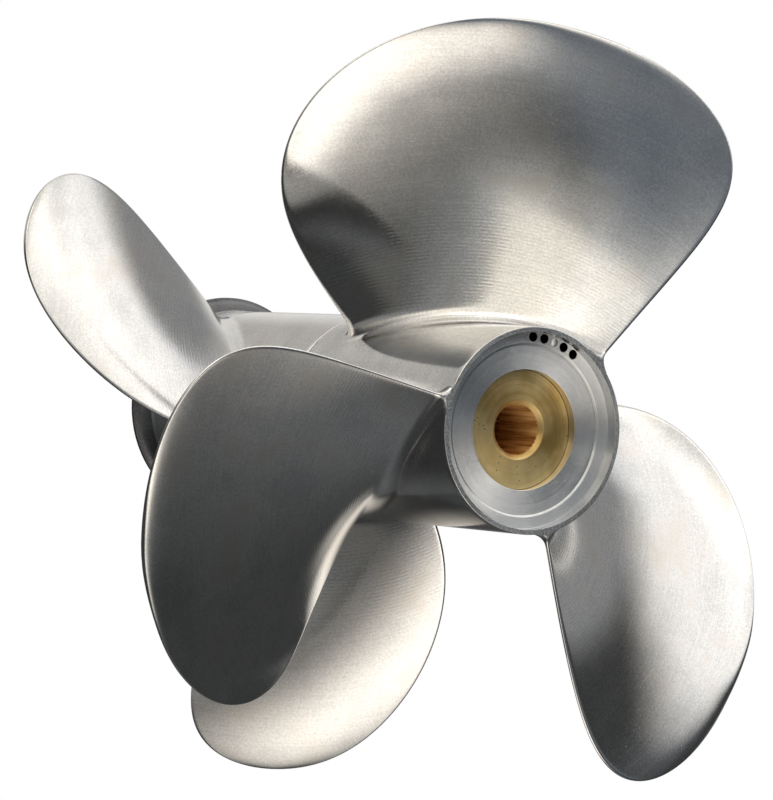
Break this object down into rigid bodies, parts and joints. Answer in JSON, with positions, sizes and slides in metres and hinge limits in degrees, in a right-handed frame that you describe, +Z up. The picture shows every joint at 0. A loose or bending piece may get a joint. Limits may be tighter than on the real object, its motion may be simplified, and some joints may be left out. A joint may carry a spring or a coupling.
{
  "type": "contra-rotating ship propeller pair",
  "caption": "Contra-rotating pair of ship propellers on one shaft line, with opposite-hand blades, splined brass bushes and a flared aft hub ring.",
  "frame": {"origin": "centre of the forward propeller's machined end face, on the shaft axis", "axes": "+Y runs aft along the shaft axis, +Z up, +X to starboard"},
  "size_m": [0.4114, 0.316, 0.4151],
  "materials": {
    "forward_steel": "satin polished",
    "forward_brass": "satin turned",
    "aft_steel": "satin polished",
    "aft_brass": "satin turned"
  },
  "bodies": {
    "forward_propeller": {"forward_casting": "forward_steel", "forward_bush": "forward_brass"},
    "aft_propeller": {"aft_casting": "aft_steel", "aft_bush": "aft_brass"}
  },
  "joints": [
    {"name": "counter_rotation", "type": "hinge", "parent": "forward_propeller", "child": "aft_propeller", "pos_m": [0, 0.2, 0], "axis": [0, 1, 0], "continuous": true}
  ]
}
